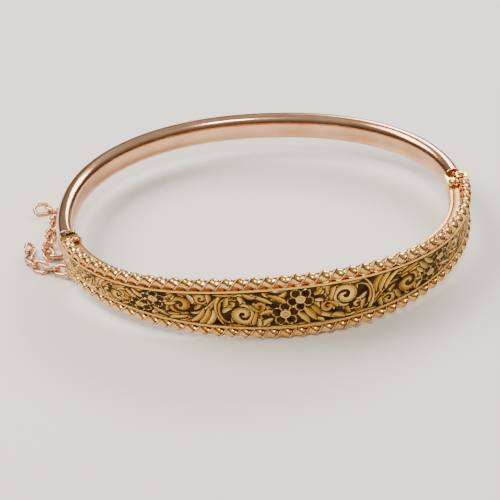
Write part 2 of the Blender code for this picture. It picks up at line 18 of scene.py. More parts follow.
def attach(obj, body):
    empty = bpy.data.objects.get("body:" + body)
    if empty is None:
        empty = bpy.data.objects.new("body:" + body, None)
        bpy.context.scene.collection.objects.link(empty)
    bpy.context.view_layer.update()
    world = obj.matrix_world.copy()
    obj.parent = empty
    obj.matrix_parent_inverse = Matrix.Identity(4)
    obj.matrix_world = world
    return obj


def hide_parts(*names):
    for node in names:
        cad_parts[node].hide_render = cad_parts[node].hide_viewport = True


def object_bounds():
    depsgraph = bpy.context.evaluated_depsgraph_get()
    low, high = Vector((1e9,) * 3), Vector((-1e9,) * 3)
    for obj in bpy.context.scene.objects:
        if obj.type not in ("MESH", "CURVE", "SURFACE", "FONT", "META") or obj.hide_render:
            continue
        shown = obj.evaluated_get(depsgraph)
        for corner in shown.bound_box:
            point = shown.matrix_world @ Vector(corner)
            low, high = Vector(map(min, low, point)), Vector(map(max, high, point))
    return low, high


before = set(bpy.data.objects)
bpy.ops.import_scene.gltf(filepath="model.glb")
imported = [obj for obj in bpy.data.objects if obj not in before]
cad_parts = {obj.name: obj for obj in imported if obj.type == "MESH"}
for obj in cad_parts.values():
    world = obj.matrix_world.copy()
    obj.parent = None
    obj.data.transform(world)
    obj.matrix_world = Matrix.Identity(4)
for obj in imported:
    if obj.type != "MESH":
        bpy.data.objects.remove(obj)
BOX_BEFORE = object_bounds()
MM = 0.001


# %% [markdown]
# ## The camera and the table
# The bangle lies flat on a pale table. The camera looks down on it at 33 degrees from
# 220 mm away, a usual distance for a 100 mm lens, and is tipped a little, as if the
# bangle leaned towards its catch. It is made first, so that everything else can be
# judged through it.

# %% Camera
LOOK_DOWN = math.radians(33.0)
LOOK_ROUND = math.radians(-5.9)
TIP = math.radians(4.7)
DISTANCE = 220 * MM
LENS_MM = 103.2
SHIFT = (-0.0228, -0.0874)


def camera_axes():
    """The camera's right, up and back directions as the rows of one matrix."""
    turned = Matrix.Rotation(LOOK_ROUND, 3, "Z")
    cosine, sine = math.cos(LOOK_DOWN), math.sin(LOOK_DOWN)
    tilted = Matrix(((1, 0, 0), (0, sine, cosine), (0, -cosine, sine)))
    rolled = Matrix.Rotation(TIP, 3, "Z")
    return rolled @ tilted @ turned


axes = camera_axes()
camera_data = bpy.data.cameras.new("camera")
camera_data.lens = LENS_MM
camera_data.sensor_width = 36
camera_data.shift_x, camera_data.shift_y = SHIFT
camera_data.clip_start = 0.01
camera = bpy.data.objects.new("camera", camera_data)
bpy.context.scene.collection.objects.link(camera)
camera.matrix_world = Matrix.Translation(axes[2] * DISTANCE) @ axes.transposed().to_4x4()
bpy.context.scene.camera = camera
print("camera at", [round(value / MM, 1) for value in camera.matrix_world.translation], "mm")


# %% [markdown]
# ## Helpers for nodes and colours
# Every material and every Geometry Nodes tree below is built with one small function
# that adds a node, sets it up and links it. Colours are written as sRGB hex, the way a
# picture editor shows them, and turned to the linear values that a shader works in.

# %% Node helpers
def linear(hex_colour):
    """An sRGB hex colour as linear RGBA."""
    values = [int(hex_colour[k:k + 2], 16) / 255 for k in (1, 3, 5)]
    return [v / 12.92 if v <= 0.04045 else ((v + 0.055) / 1.055) ** 2.4 for v in values] + [1.0]


def add_node(tree, kind, inputs=None, **settings):
    """Adds a node; an input given as a socket is linked, and any other value is set."""
    made = tree.nodes.new(kind)
    for name, value in settings.items():
        setattr(made, name, value)
    for name, value in (inputs or {}).items():
        if isinstance(value, bpy.types.NodeSocket):
            tree.links.new(value, made.inputs[name])
        else:
            made.inputs[name].default_value = value
    return made


def ramp(tree, factor, stops):
    """A colour ramp from (position, hex colour) stops."""
    made = add_node(tree, "ShaderNodeValToRGB", {0: factor})
    elements = made.color_ramp.elements
    while len(elements) < len(stops):
        elements.new(0.5)
    for element, (position, colour) in zip(elements, stops):
        element.position = position
        element.color = linear(colour)
    return made.outputs["Color"]


# %% [markdown]
# ## The table and the lights
# Polished gold shows whatever is round it, so the lights are part of the metal's look:
# two broad soft boxes give long pale streaks, a small one gives the sparkle on the
# engraving, and the dimmer room between them gives the dark reflections that make gold
# look deep instead of flat.

# %% Table, room and lights
def table_paper():
    """Smooth pale card: matt, with the faintest mottling."""
    material = bpy.data.materials.new("pale_card")
    material.use_nodes = True
    tree = material.node_tree
    place = add_node(tree, "ShaderNodeTexCoord")
    mottle = add_node(tree, "ShaderNodeTexNoise", {"Vector": place.outputs["Object"], "Scale": 9.0})
    colour = ramp(tree, mottle.outputs["Fac"], [(0.3, "#E6E3DE"), (0.7, "#EAE7E3")])
    shader = tree.nodes["Principled BSDF"]
    tree.links.new(colour, shader.inputs["Base Color"])
    shader.inputs["Roughness"].default_value = 0.6
    return material


def add_table():
    low = BOX_BEFORE[0][2]
    made = bmesh.new()
    bmesh.ops.create_grid(made, x_segments=8, y_segments=8, size=1.6)
    mesh = bpy.data.meshes.new("table")
    made.to_mesh(mesh)
    made.free()
    mesh.transform(Matrix.Translation((0, 0, low)))
    mesh.materials.append(table_paper())
    table = bpy.data.objects.new("table", mesh)
    bpy.context.scene.collection.objects.link(table)


def add_light(name, place, size, power, colour="#FFFFFF"):
    """A soft box that faces the bangle."""
    light = bpy.data.lights.new(name, "AREA")
    light.shape = "RECTANGLE"
    light.size, light.size_y = size
    light.energy = power
    light.color = linear(colour)[:3]
    lamp = bpy.data.objects.new(name, light)
    bpy.context.scene.collection.objects.link(lamp)
    lamp.location = place
    lamp.rotation_euler = (Vector((0, 0, 0)) - lamp.location).to_track_quat("-Z", "Y").to_euler()


def add_room(brightness):
    """A plain room round the table: dim below, pale above, so that metal shows a horizon."""
    world = bpy.data.worlds.new("room")
    world.use_nodes = True
    tree = world.node_tree
    direction = add_node(tree, "ShaderNodeTexCoord").outputs["Generated"]
    height = add_node(tree, "ShaderNodeSeparateXYZ", {0: direction})
    tone = ramp(tree, height.outputs["Z"], [(0.0, "#55504A"), (0.3, "#8D8780"), (0.75, "#F4F1EC")])
    sky = tree.nodes["Background"]
    tree.links.new(tone, sky.inputs["Color"])
    sky.inputs["Strength"].default_value = brightness
    bpy.context.scene.world = world


add_table()
add_light("broad_left", Vector((-0.35, 0.10, 0.38)), (0.30, 0.30), 4.0, "#FFF6EA")
add_light("broad_back", Vector((0.18, 0.42, 0.30)), (0.40, 0.16), 3.0)
add_light("sparkle", Vector((0.05, -0.22, 0.42)), (0.10, 0.05), 1.2, "#FFF3E0")
add_room(0.62)


# %% [markdown]
# ## The oval
# The whole bangle follows one oval, slightly squarer than an ellipse so that it fits a
# wrist. A place on it is given the way a goldsmith would mark a strip before bending
# it: the distance along, the depth in from the front face, and the height.

# %% The oval and its places
OVAL_WIDTH, OVAL_DEPTH, OVAL_POWER = 63.0 * MM, 52.4 * MM, 2.15
BAND_TURN = math.radians(12)
BAND_HALF_LENGTH = 41.8 * MM
BAND_THICKNESS = 2.8 * MM
SHEET = 0.5 * MM
PLATE_HEIGHT_MIDDLE, PLATE_HEIGHT_END = 7.0 * MM, 3.0 * MM
JOIN = 0.04 * MM


def oval_table(samples=6000):
    """The oval's length, and its points at equal steps from the middle of the band."""
    angle = -math.pi / 2 + BAND_TURN + np.linspace(0, 2 * math.pi, samples)
    cosine, sine = np.cos(angle), np.sin(angle)
    x = OVAL_WIDTH / 2 * np.sign(cosine) * np.abs(cosine) ** (2 / OVAL_POWER)
    y = OVAL_DEPTH / 2 * np.sign(sine) * np.abs(sine) ** (2 / OVAL_POWER)
    length = np.concatenate([[0], np.cumsum(np.hypot(np.diff(x), np.diff(y)))])
    even = np.linspace(0, length[-1], samples)
    return length[-1], np.interp(even, length, x), np.interp(even, length, y)


OVAL_LENGTH, OVAL_X, OVAL_Y = oval_table()
OVAL_STEPS = np.arange(len(OVAL_X))


def oval_xy(along):
    position = (np.asarray(along) / OVAL_LENGTH) % 1.0 * (len(OVAL_X) - 1)
    x, y = np.interp(position, OVAL_STEPS, OVAL_X), np.interp(position, OVAL_STEPS, OVAL_Y)
    return np.stack([x, y], -1)


def places(along, inset, height):
    """Arrays of distance along, inset and height as an (..., 3) array of points."""
    along, inset, height = np.broadcast_arrays(along, inset, height)
    reach = 0.25 * MM
    tangent = oval_xy(along + reach) - oval_xy(along - reach)
    tangent /= np.linalg.norm(tangent, axis=-1, keepdims=True)
    outward = np.stack([tangent[..., 1], -tangent[..., 0]], -1)
    flat = oval_xy(along) - outward * inset[..., None]
    return np.concatenate([flat, height[..., None]], -1)


def plate_half_height(along):
    share = np.minimum(np.abs(along) / BAND_HALF_LENGTH, 1.0)
    blend = 0.5 + 0.5 * np.cos(np.pi * share)
    return (PLATE_HEIGHT_END + (PLATE_HEIGHT_MIDDLE - PLATE_HEIGHT_END) * blend) / 2


print(f"the oval is {OVAL_LENGTH / MM:.1f} mm round")


# %% [markdown]
# ## The metals
# A 9 carat gold alloy is over half copper and silver, so it isn't a rich yellow: with
# more silver it is a pale greenish yellow, with more copper it is rosy. Every finish
# here is a bare metal, whose colour comes from its reflections, except where light or
# shade is painted into it: beside and on the twisted wires' milled rims, and on the
# engraved plate. What changes is how the surface was left. The tube, the lining, the
# fittings, the chain and the twisted wires were polished with rouge, which leaves
# hair-fine swirls. The plate was cut with a graver, which leaves bright leaves on a sunk
# ground; the ground's near-black colour is a painted reflection of a dark room.

# %% Polished gold alloys
PAINTED_HOLLOW_SHADE_COLOUR, PAINTED_RIM_HIGHLIGHT_COLOUR = "#A5642C", "#FFEFC8"  # painted shade beside a milled rim, and a painted highlight on it
RIM_ROUGHNESS = 0.5


def mix_colour(tree, factor, first, second):
    """Two colours mixed by a factor; each is a socket or linear RGBA."""
    inputs = {"Factor": factor, "A": first, "B": second}
    return add_node(tree, "ShaderNodeMix", inputs, data_type="RGBA").outputs["Result"]


def mix_value(tree, factor, first, second):
    inputs = {"Factor": factor, "A": first, "B": second}
    return add_node(tree, "ShaderNodeMix", inputs).outputs["Result"]


def remap(tree, value, **limits):
    """A value carried from one range to another, limits given as from_min, to_max, ..."""
    inputs = {label.replace("_", " ").title(): limit for label, limit in limits.items()}
    return add_node(tree, "ShaderNodeMapRange", {"Value": value, **inputs}).outputs["Result"]


def kept_value(tree, name):
    """A value that the mesh keeps on its points, under a name."""
    return add_node(tree, "ShaderNodeAttribute", attribute_name=name).outputs["Fac"]


def bumps(tree, height, strength, distance, **inputs):
    """Surface relief, as the normal that a shader takes."""
    inputs = {"Height": height, "Strength": strength, "Distance": distance, **inputs}
    return add_node(tree, "ShaderNodeBump", inputs).outputs["Normal"]


def polished_gold(name, colour, worn_colour, roughness, milled_rim=False):
    """Polished alloy with faint colour drift, rouge swirls and small handling dents; with a milled rim it
    also takes a painted shade beside the rim and a painted highlight on it.

    The swirls are about 0.1 mm apart, drawn several times coarser than real ones so
    that they show."""
    material = bpy.data.materials.new(name)
    material.use_nodes = True
    tree = material.node_tree
    shader = tree.nodes["Principled BSDF"]
    place = add_node(tree, "ShaderNodeTexCoord").outputs["Object"]
    drift = add_node(tree, "ShaderNodeTexNoise", {"Vector": place, "Scale": 160.0, "Detail": 3.0})
    swirls = add_node(
        tree,
        "ShaderNodeTexNoise",
        {"Vector": place, "Scale": 2600.0, "Detail": 4.0, "Roughness": 0.6, "Distortion": 1.2},
    )
    dents = add_node(tree, "ShaderNodeTexVoronoi", {"Vector": place, "Scale": 900.0})
    tint = ramp(tree, drift.outputs["Fac"], [(0.35, worn_colour), (0.6, colour)])
    spread = remap(tree, swirls.outputs["Fac"], to_min=roughness * 0.7, to_max=roughness * 1.4)
    if milled_rim:
        # Painted shade: the hollow beside a milled rim is painted brown, standing in for the shade that
        # falls
        # there. Painted highlight: the rim itself is painted the palest, brightest colour, standing in
        # for the glint along its milling; it is also left rougher than the rest.
        edge = kept_value(tree, "edge")
        hollow = remap(tree, edge, from_min=0.04, from_max=0.42)
        rim_and_painted_highlight = remap(tree, edge, from_min=0.8, from_max=0.97)
        spread = mix_value(tree, rim_and_painted_highlight, spread, RIM_ROUGHNESS)
        shaded = mix_colour(tree, hollow, tint, linear(PAINTED_HOLLOW_SHADE_COLOUR))
        tint = mix_colour(tree, rim_and_painted_highlight, shaded, linear(PAINTED_RIM_HIGHLIGHT_COLOUR))
    tree.links.new(tint, shader.inputs["Base Color"])
    tree.links.new(spread, shader.inputs["Roughness"])
    fine = bumps(tree, swirls.outputs["Fac"], 0.05, 0.04 * MM)
    worn = bumps(tree, dents.outputs["Distance"], 0.05, 0.06 * MM, Normal=fine)
    tree.links.new(worn, shader.inputs["Normal"])
    shader.inputs["Metallic"].default_value = 1.0
    return material


YELLOW = polished_gold("polished_yellow_9ct_gold", "#E9BC68", "#D9A24C", 0.17)
ROSE = polished_gold("polished_rose_9ct_gold", "#E4B48E", "#D4A07A", 0.15)
LINING = polished_gold("worn_rosy_9ct_gold_lining", "#DBA366", "#C58A4C", 0.3)
TWISTED = polished_gold("twisted_milled_gold_wire", "#F7C678", "#E6AA58", 0.2, milled_rim=True)
CHAIN = polished_gold("rose_gold_cable_chain", "#E2B48A", "#CFA078", 0.24)
PIN = polished_gold("drawn_gold_pin_wire", "#D9B072", "#C99A5C", 0.28)


# %% Graver-cut gold
def engraved_gold():
    """Gold alloy engraved by hand. The graver's cuts are bright and fine; the sunk ground
    between the leaves is smooth, and its near-black colour is a painted reflection of a
    dark room."""
    material = bpy.data.materials.new("hand_engraved_yellow_9ct_gold")
    material.use_nodes = True
    tree = material.node_tree
    shader = tree.nodes["Principled BSDF"]
    place = add_node(tree, "ShaderNodeTexCoord").outputs["Object"]
    ground, cut, tone = (kept_value(tree, name) for name in ("ground", "cut", "tone"))
    drift = add_node(tree, "ShaderNodeTexNoise", {"Vector": place, "Scale": 700.0, "Detail": 4.0})
    lit = mix_value(tree, 0.62, drift.outputs["Fac"], tone)
    grain = add_node(
        tree, "ShaderNodeTexNoise", {"Vector": place, "Scale": 6000.0, "Detail": 3.0, "Roughness": 0.7}
    )
    leaf = ramp(tree, lit, [(0.12, "#8A5C22"), (0.5, "#CB9438"), (0.85, "#F8CF78")])
    # painted reflection: the sunk ground is painted near black, standing in for the dark room that its
    # smooth flats reflect
    sunk = ramp(tree, drift.outputs["Fac"], [(0.35, "#1C130B"), (0.7, "#453320")])
    # painted shade: the outline cuts, the shading cuts and the shaded side of each leaf are painted near
    # black, over the leaves and over the ground's painted reflection
    painted_shade_and_reflection = mix_colour(tree, cut, mix_colour(tree, ground, leaf, sunk), linear("#241508"))
    tree.links.new(painted_shade_and_reflection, shader.inputs["Base Color"])
    rough = remap(tree, grain.outputs["Fac"], to_min=0.16, to_max=0.34)
    tree.links.new(rough, shader.inputs["Roughness"])
    relief = bumps(tree, grain.outputs["Fac"], 0.25, 0.03 * MM)
    tree.links.new(relief, shader.inputs["Normal"])
    shader.inputs["Metallic"].default_value = 1.0
    return material


ENGRAVED = engraved_gold()


# %% [markdown]
# ## The engraving
# The engraver sank the ground between scrolling leaves and pairs of five-petalled
# flowers, then shaded the leaves with rows of fine cuts. Here every scroll, leaf and
# petal is a stroke: a line with a width that swells and tapers. For each point of a
# very fine grid the script asks how far the point is from each stroke, and so knows
# whether it lies on a leaf, on a cut or on the sunk ground. Distances are in
# millimetres, with the middle of the plate at 0 and its height scaled to +-3.5.

# %% Strokes
PLATE_SCALE = 3.5  # the drawing's half height, squeezed where the plate tapers
FLOWERS_AT = (-22.6, -1.4, 21.4)
GOLDEN = 0.618  # steps of this share never repeat, so neighbouring leaves differ in tone
SOFT = 0.07  # how far an edge or a cut fades, so that the grid's steps don't show


def line_at(distance, spread):
    """1 where the distance is 0, fading smoothly to nothing over the spread."""
    return np.exp(-((distance / spread) ** 2))


def spiral(centre, radius, start, turns, inner=0.16, count=46):
    """A scroll, from its outer end inwards. Negative turns wind it the other way."""
    t = np.linspace(0, 1, count)
    angle = math.radians(start) + 2 * math.pi * turns * t
    reach = radius * ((1 - t) ** 0.8 * (1 - inner) + inner)
    return np.stack([centre[0] + reach * np.cos(angle), centre[1] + reach * np.sin(angle)], -1)


def curve(*points, count=34):
    """A smooth stem or leaf through two to four guide points (a Bezier curve)."""
    t = np.linspace(0, 1, count)[:, None]
    degree = len(points) - 1
    made = np.zeros((count, 2))
    for k, point in enumerate(points):
        made += math.comb(degree, k) * t**k * (1 - t) ** (degree - k) * np.array(point, float)
    return made


def widths(count, shape, widest):
    """Half widths along a stroke: a leaf, a scroll, or else a tapering stem."""
    t = np.linspace(0, 1, count)
    if shape == "leaf":
        return widest * 2.5 * t**0.55 * (1 - t) ** 0.8 + 0.015
    if shape == "scroll":
        swell = 0.45 + 0.75 * np.sin(np.pi * t**1.3) ** 1.2
        return widest * swell * (1 - 0.35 * t) + 0.05 * widest
    return widest * (1 - 0.8 * t) * np.clip(0.35 + 7 * t, 0, 1) + 0.03


class Drawing:
    """The plate's surface, as flat arrays over the grid's points."""

    def __init__(self, along, up):
        self.u, self.v = along.ravel(), up.ravel()
        self.on = np.zeros_like(self.u)
        self.cut = np.zeros_like(self.u)
        self.shade = np.zeros_like(self.u)
        self.tone = np.full_like(self.u, 0.8)
        self.strokes = 0

    def near(self, points, margin):
        """The grid points within a margin of the box round some points."""
        low, high = points.min(0) - margin, points.max(0) + margin
        inside = (self.u > low[0]) & (self.u < high[0]) & (self.v > low[1]) & (self.v < high[1])
        return np.nonzero(inside)[0]

    def stroke(self, points, half_widths, hatch=0.42, hatch_side=1.0):
        """Lays one raised stroke, with a cut line round it and shading cuts on one side."""
        picked = self.near(points, float(np.max(half_widths)) + 0.25)
        if not len(picked):
            return
        here = np.stack([self.u[picked], self.v[picked]], -1)
        start, step = points[:-1], np.diff(points, axis=0)
        lengths = np.hypot(step[:, 0], step[:, 1]) + 1e-9
        travelled = np.concatenate([[0], np.cumsum(lengths)])[:-1]
        away = here[:, None, :] - start[None]
        share = np.clip((away * step).sum(-1) / lengths**2, 0, 1)
        gap = away - share[..., None] * step
        distance = np.hypot(gap[..., 0], gap[..., 1])
        best = distance.argmin(1)  # the nearest step of the stroke's line
        rows = np.arange(len(picked))
        d, t = distance[rows, best], share[rows, best]
        side = np.sign(step[best, 0] * gap[rows, best, 1] - step[best, 1] * gap[rows, best, 0])
        width = half_widths[best] * (1 - t) + half_widths[best + 1] * t
        length = travelled[best] + t * lengths[best]
        body = np.clip((width - d) / SOFT + 0.5, 0, 1)
        rim = line_at(d - width - 0.06, SOFT)
        across = d * side * hatch_side / width
        depth = np.clip(0.5 + 0.5 * across, 0, 1)
        cuts = np.clip(np.cos(2 * math.pi * (length + d * 0.6) / hatch), 0, 1) * depth**2
        veins = line_at(across - 0.4, 0.14) + 0.7 * line_at(across + 0.25, 0.12)
        roomy = np.clip((width - 0.14) / 0.1, 0, 1)  # a thin stroke has no room for veins
        # the depth**4 term sinks the leaf's shaded side a little and, through the plate's cut value, also
        # paints it dark: a painted shade
        combs = np.clip(0.7 * cuts + 0.8 * veins * roomy + 0.6 * depth**4, 0, 1)
        self.strokes += 1
        tone = 0.35 + 0.6 * (self.strokes * GOLDEN % 1.0)
        # each stroke takes a random tone, and one side of its leaf is made lighter and the other darker:
        # a painted shade
        self.tone[picked] = np.where(body > 0.5, tone + 0.35 * (0.5 - depth), self.tone[picked])
        covered = self.on[picked]
        self.shade[picked] = np.where(body > 0.5, combs, self.shade[picked])
        self.cut[picked] = np.maximum(self.cut[picked] * (1 - body), rim * (0.4 + 0.6 * covered))
        self.on[picked] = np.maximum(covered, body)

    def petal(self, centre, radius):
        """A sunk petal with a raised outline."""
        picked = self.near(np.array([centre, centre], float), radius + 0.3)
        d = np.hypot(self.u[picked] - centre[0], self.v[picked] - centre[1])
        outline = np.clip((0.06 - np.abs(d - radius)) / 0.06 + 0.5, 0, 1)
        hollow = np.clip((radius - 0.06 - d) / 0.06 + 0.5, 0, 1)
        self.on[picked] = np.where(hollow > 0.5, 0.0, self.on[picked])
        self.cut[picked] *= 1 - np.maximum(hollow, outline)
        self.shade[picked] *= 1 - np.maximum(hollow, outline)
        self.on[picked] = np.maximum(self.on[picked], outline)

    def button(self, centre, radius):
        """The flower's ringed eye."""
        picked = self.near(np.array([centre, centre], float), radius + 0.3)
        d = np.hypot(self.u[picked] - centre[0], self.v[picked] - centre[1])
        disc = np.clip((radius - d) / 0.06 + 0.5, 0, 1)
        ring = 0.8 * line_at(d - radius * 0.5, SOFT) + line_at(d, 0.09)
        self.on[picked] = np.maximum(self.on[picked], disc)
        self.shade[picked] *= 1 - disc
        rim = line_at(d - radius - 0.07, 0.05)
        self.cut[picked] = np.maximum(self.cut[picked] * (1 - disc), np.maximum(ring * disc, rim))


print("flower pairs at", FLOWERS_AT, "mm from the middle")


# %% [markdown]
# The drawing itself: a pair of flowers, and a run of scrolls that fills the space
# between two pairs. The run is drawn once, and turned over for its neighbours, which is
# how an engraver keeps a pattern even without copying it line for line.

# %% The drawing's parts
def draw_flower(sheet, centre, size, turn):
    """Five petals round a ringed eye; the size is in mm and the turn in degrees."""
    for k in range(5):
        angle = math.radians(turn + 72 * k)
        reach = 1.24 * size
        place = (centre[0] + reach * math.cos(angle), centre[1] + reach * math.sin(angle))
        sheet.petal(place, 0.72 * size)
    sheet.button(centre, 0.74 * size)


def draw_flower_pair(sheet, at_u, flip):
    """Two flowers with the leaves that fill round them."""
    def place(u, v):
        return (at_u + u * flip, v * flip)

    for points, wide in (
        (curve(place(-0.9, 2.9), place(-1.3, 2.0), place(-2.2, 1.3), place(-3.1, 1.7)), 0.4),
        (curve(place(-1.0, 0.9), place(-2.0, 1.9), place(-3.6, 2.5)), 0.4),
        (curve(place(-0.6, 3.2), place(-1.6, 3.1), place(-2.4, 2.9), place(-3.2, 3.1)), 0.3),
        (curve(place(1.6, -0.2), place(2.6, -1.4), place(3.2, -2.6)), 0.44),
        (curve(place(2.6, 0.0), place(3.2, -0.6), place(3.8, -1.6)), 0.34),
        (curve(place(0.6, -0.9), place(1.7, -1.8), place(2.2, -3.0)), 0.4),
        (curve(place(0.4, -3.1), place(0.9, -2.8), place(1.4, -2.8), place(1.8, -3.2)), 0.26),
        (curve(place(-2.9, -1.7), place(-3.8, -2.0), place(-4.2, -2.9)), 0.38),
        (curve(place(-2.9, -0.4), place(-3.9, -0.3), place(-4.6, -1.0)), 0.36),
        (curve(place(3.0, 1.8), place(3.8, 2.2), place(4.1, 3.0)), 0.36),
        (curve(place(3.1, 0.9), place(3.7, 1.0), place(4.3, 0.6)), 0.3),
    ):
        sheet.stroke(points, widths(len(points), "leaf", wide), hatch_side=flip)
    draw_flower(sheet, place(-1.1, -1.0), 1.0, 18)
    draw_flower(sheet, place(1.1, 1.3), 0.95, 50)


def draw_scroll_run(sheet, from_u, to_u, flip):
    """Scrolls and leaves between two pairs of flowers, 16 mm apart in the drawing."""
    stretch = (to_u - from_u) / 16.0
    middle = (from_u + to_u) / 2

    def place(u, v):
        return (middle + (u - 8.0) * stretch * flip, v * flip)

    def add(points, shape, wide, side=1.0):
        placed = np.stack([middle + (points[:, 0] - 8.0) * stretch * flip, points[:, 1] * flip], -1)
        sheet.stroke(placed, widths(len(points), shape, wide), hatch_side=side)

    # stems first, then the scrolls and leaves that lie over them
    add(curve((1.6, -2.6), (4.6, -3.2), (6.6, -0.8), (8.9, 2.9)), "stem", 0.3)
    add(curve((3.2, -2.9), (5.6, -2.6), (7.2, 0.2), (8.7, 3.0)), "stem", 0.26, -1.0)
    add(curve((4.0, -0.9), (5.6, -1.2), (6.8, 0.8), (8.4, 2.5)), "stem", 0.24)
    add(curve((16.4, 1.0), (13.2, 3.1), (10.4, 3.2), (8.6, 1.4)), "stem", 0.36)
    add(curve((8.6, 1.4), (7.6, -0.2), (8.4, -2.6), (10.4, -2.4)), "stem", 0.32, -1.0)
    add(curve((8.9, 2.8), (7.4, 1.2), (7.6, -1.4), (9.2, -3.1)), "stem", 0.22)
    for centre, radius, start, turns, wide in (
        ((2.2, 0.5), 2.0, 300, -1.35, 0.5),
        ((5.6, 2.1), 1.1, 350, -1.3, 0.34),
        ((12.0, -0.9), 1.85, 95, -1.5, 0.5),
        ((14.6, 0.5), 0.85, 200, 1.2, 0.3),
        ((10.3, 1.2), 0.8, 40, 1.2, 0.26),
        ((15.3, -2.3), 0.8, 120, 1.15, 0.28),
    ):
        winding = spiral(centre, radius, start, turns)
        for base, ahead in zip(winding[1:24:4], winding[2:25:4]):
            # leaflets fan from the scroll's outer edge, leaning back along it
            out = (base - centre) / np.hypot(*(base - centre))
            back = (base - ahead) / np.hypot(*(base - ahead))
            size = 0.5 * radius
            swell = base + size * (0.5 * out - 0.1 * back)
            tip = base + size * (0.9 * out + 0.9 * back)
            add(curve(base, swell, tip), "leaf", 0.3 * size)
        add(winding, "scroll", wide)
    for leaf, wide in (
        (((5.2, -3.1), (6.2, -2.4), (6.9, -1.0), (6.8, 0.4)), 0.44),
        (((6.3, -3.2), (7.4, -2.3), (7.8, -1.2), (7.4, 0.0)), 0.38),
        (((3.9, -2.9), (5.0, -2.1), (5.9, -1.2), (6.0, 0.2)), 0.38),
        (((4.5, -0.2), (5.1, 0.3), (5.4, 0.6), (5.2, 1.0)), 0.32),
        (((0.3, -2.9), (1.3, -2.3), (2.6, -2.4), (3.4, -1.6)), 0.42),
        (((0.1, -1.9), (0.7, -1.7), (1.4, -1.8), (2.2, -1.4)), 0.32),
        (((0.2, 2.9), (0.9, 2.7), (1.2, 2.2), (0.8, 1.4)), 0.36),
        (((-0.2, 1.2), (0.2, 0.9), (0.3, 0.2), (0.1, -0.6)), 0.3),
        (((2.2, 3.1), (2.9, 3.0), (3.6, 3.0), (4.4, 3.2)), 0.24),
        (((3.6, 2.9), (3.9, 2.2), (4.4, 1.6), (4.2, 0.9)), 0.36),
        (((6.6, 3.1), (6.9, 2.5), (7.0, 1.9), (6.7, 1.2)), 0.3),
        (((7.6, 2.9), (9.0, 3.0), (9.8, 2.6), (11.0, 3.0)), 0.3),
        (((9.0, -0.6), (9.4, 0.2), (9.9, 0.4), (10.5, 0.2)), 0.34),
        (((9.2, 0.5), (9.7, 1.2), (9.4, 1.9), (9.9, 2.4)), 0.3),
        (((11.4, 2.4), (11.9, 1.9), (12.0, 1.5), (11.7, 1.1)), 0.3),
        (((9.6, -3.1), (10.4, -2.8), (11.4, -3.1), (12.6, -3.0)), 0.34),
        (((13.4, -2.8), (13.9, -1.9), (14.2, -1.2), (14.0, -0.4)), 0.38),
        (((14.2, -3.2), (14.5, -2.6), (14.6, -2.0), (14.3, -1.5)), 0.28),
        (((12.2, 2.9), (12.9, 2.2), (13.6, 1.9), (14.2, 2.2)), 0.36),
        (((13.2, 0.9), (13.4, 0.4), (13.9, -0.1), (14.7, -0.4)), 0.3),
        (((15.2, 2.9), (15.7, 2.4), (16.2, 2.2), (16.8, 2.4)), 0.3),
        (((15.8, 0.6), (16.1, 0.0), (16.2, -0.6), (15.8, -1.1)), 0.3),
    ):
        add(curve(*leaf), "leaf", wide, -1.0 if wide > 0.35 else 1.0)


def draw_closing_leaves(sheet, from_u, to_u):
    """Overlapping leaves that carry the pattern up to the plain metal at the hinge."""
    reach = to_u - from_u
    for start, base, bend, tip in (
        (-0.2, -2.6, -3.2, -2.4),
        (-0.1, 2.5, 3.3, 2.3),
        (0.2, -1.4, -2.2, -0.9),
        (0.1, 1.5, 2.0, 0.8),
        (0.3, 0.3, -0.5, 0.1),
    ):
        bent_at = from_u + 0.55 * reach
        points = curve((from_u + start * reach, base), (bent_at, bend), (to_u, tip))
        sheet.stroke(points, widths(len(points), "leaf", 0.46), hatch_side=1.0)


def draw_plate(sheet):
    """The whole pattern, from the catch to the hinge; flowers go over the runs."""
    first, middle, last = FLOWERS_AT
    draw_scroll_run(sheet, first + 3.2, middle - 3.4, 1)
    draw_scroll_run(sheet, middle + 3.4, last - 3.2, -1)
    draw_scroll_run(sheet, first - 15.4, first - 3.2, -1)
    draw_scroll_run(sheet, last + 3.2, last + 16.4, 1)
    draw_closing_leaves(sheet, last + 15.6, BAND_HALF_LENGTH / MM - 1.1)
    for at_u, flip in zip(FLOWERS_AT, (-1, 1, -1)):
        draw_flower_pair(sheet, at_u, flip)


# %% [markdown]
# ## The engraved plate
# The grid is about 0.08 mm fine, which is as fine as a graver's cut. Its points are
# pushed inwards where the metal is cut away, never outwards, so the plate keeps its
# size. Three values are kept on every point for the metal to use: how much it is sunk
# ground, which the metal paints near black as a painted reflection; how much painted
# shade it takes in its outline cuts, its shading cuts and the shaded side of its leaf;
# and how light its leaf is, a random tone with a painted shade on one side.

# %% Plate
PLATE_COLUMNS, PLATE_ROWS = 1060, 82
GROUND_DEPTH, CUT_DEPTH, SHADE_DEPTH = 0.12 * MM, 0.1 * MM, 0.06 * MM
BORDER = 0.42  # plain margin along each edge, in mm
PLAIN_END, PLAIN_HINGE_END = 3.4, 1.3  # plain metal at the catch and at the hinge, in mm
ROUND_OVER = 0.05 * MM  # how far the plate's long edges are rubbed down


def smooth_step(low, high, value):
    t = np.clip((value - low) / (high - low), 0, 1)
    return t * t * (3 - 2 * t)


def mesh_piece(name, points, quads, material, sharp=40):
    """A shaded mesh object from arrays of points and quads."""
    mesh = bpy.data.meshes.new(name)
    mesh.from_pydata(points.tolist(), [], [list(map(int, quad)) for quad in quads])
    mesh.materials.append(material)
    mesh.shade_smooth()
    mesh.set_sharp_from_angle(angle=math.radians(sharp))
    made = bpy.data.objects.new(name, mesh)
    bpy.context.scene.collection.objects.link(made)
    return made


def grid_quads(rows, columns, wrap):
    """Quads over a grid of rows (along the piece) by columns (round its section)."""
    index = np.arange(rows * columns).reshape(rows, columns)
    after = np.roll(index, -1, 1) if wrap else index[:, 1:]
    here = index if wrap else index[:, :-1]
    return np.stack([here[:-1], here[1:], after[1:], after[:-1]], -1).reshape(-1, 4)


